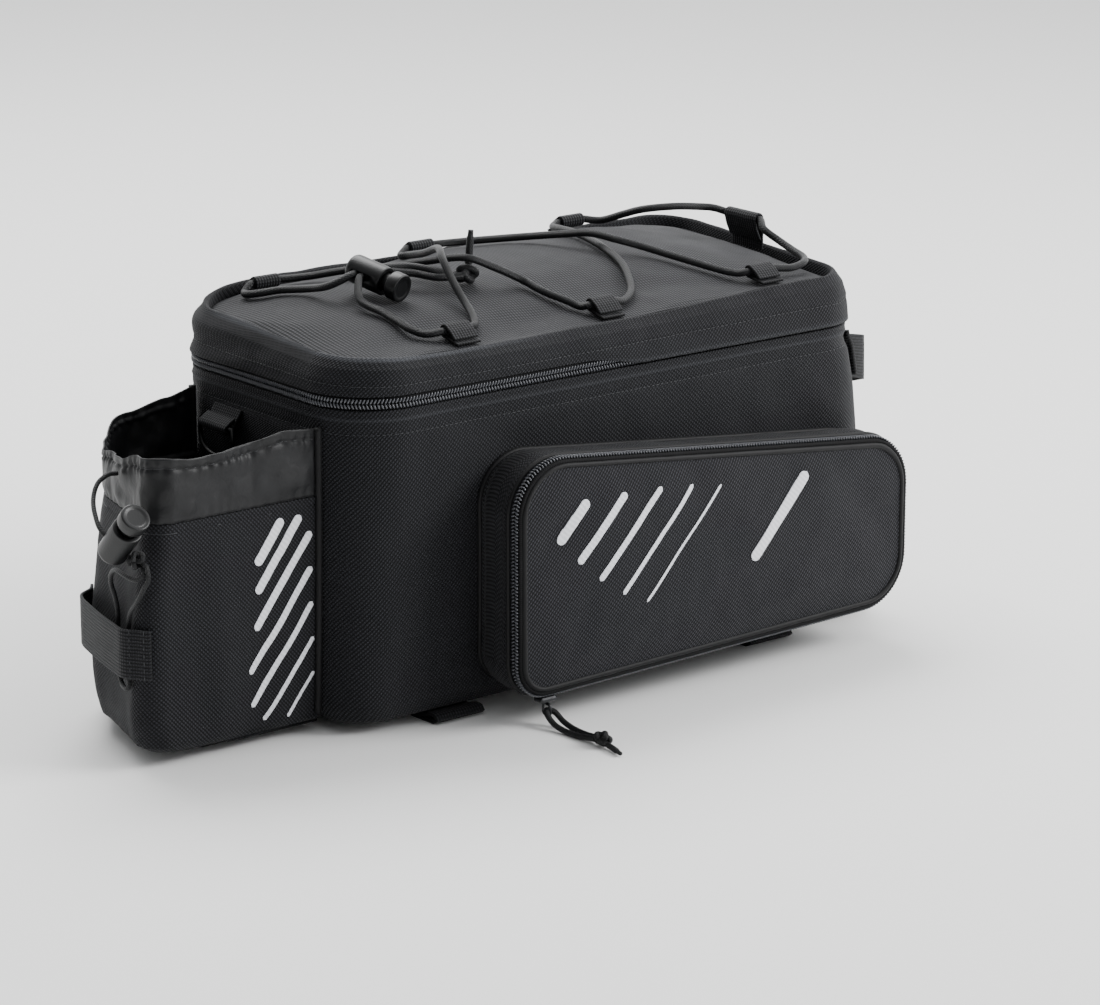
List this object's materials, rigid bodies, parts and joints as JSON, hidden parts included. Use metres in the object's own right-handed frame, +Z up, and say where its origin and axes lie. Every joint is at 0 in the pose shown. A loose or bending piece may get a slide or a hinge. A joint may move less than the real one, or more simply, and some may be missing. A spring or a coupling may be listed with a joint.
{
  "type": "bicycle trunk bag",
  "caption": "Soft trunk bag for a bicycle's rear carrier, with a zipped lid laced by an elastic cord, zipped side pockets, a bottle pocket and a front handle.",
  "frame": {"origin": "on the surface that the bag rests on, under the middle of its box without the free cords", "axes": "+X towards the front end with the carrying handle, +Y towards the far side, +Z up"},
  "size_m": [0.491, 0.3061, 0.2295],
  "materials": {
    "canvas": "coarse black polyester canvas with a matt twill face",
    "zip_tape": "black zip tape with a fine moulded coil",
    "nylon": "thin black nylon with a soft sheen, gathered",
    "webbing": "ribbed black webbing",
    "cord": "black braided cord cover",
    "hard_plastic": "black moulded plastic, satin"
  },
  "bodies": {
    "bag": {"body_shell": "canvas", "lid_band": "canvas", "lid_panel": "canvas", "near_pocket_gusset": "canvas", "near_pocket_face": "canvas", "far_pocket_gusset": "canvas", "far_pocket_face": "canvas", "bottle_pocket_wall": "canvas", "lid_zip": "zip_tape", "near_pocket_zip": "zip_tape", "far_pocket_zip": "zip_tape", "bottle_pocket_collar": "nylon", "light_loop": "webbing", "rear_ring_tab": "webbing", "front_handle": "webbing", "rear_strap_near": "webbing", "rear_strap_far": "webbing", "front_strap_near": "webbing", "front_strap_far": "webbing", "near_lid_loop_1": "webbing", "near_lid_loop_2": "webbing", "near_lid_loop_3": "webbing", "far_lid_loop_1": "webbing", "far_lid_loop_2": "webbing", "far_lid_loop_3": "webbing", "end_lid_loop": "webbing", "bungee_cord": "cord", "bungee_knot": "cord", "bungee_end": "cord", "bottle_draw_cord": "cord", "bottle_draw_knot": "cord", "bottle_draw_loop": "cord", "near_pull_cord": "cord", "near_pull_knot": "cord", "near_pull_end": "cord", "rear_ring": "hard_plastic", "bungee_lock_barrel": "hard_plastic", "bottle_lock_barrel": "hard_plastic", "near_zip_slider": "hard_plastic", "far_zip_slider": "hard_plastic", "lid_zip_slider": "hard_plastic", "near_zip_pull": "hard_plastic"},
    "bungee_button": {"bungee_lock_button": "hard_plastic"},
    "bottle_button": {"bottle_lock_button": "hard_plastic"}
  },
  "joints": [
    {"name": "bungee_lock_press", "type": "slide", "parent": "bag", "child": "bungee_button", "axis": [-0.2566, 0.9408, 0.2214], "range_m": [0, 0.004], "stiffness_N_per_m": 40, "springref_m": -0.004},
    {"name": "bottle_lock_press", "type": "slide", "parent": "bag", "child": "bottle_button", "axis": [0, 0.7021, -0.7121], "range_m": [0, 0.004], "stiffness_N_per_m": 40, "springref_m": -0.004}
  ]
}
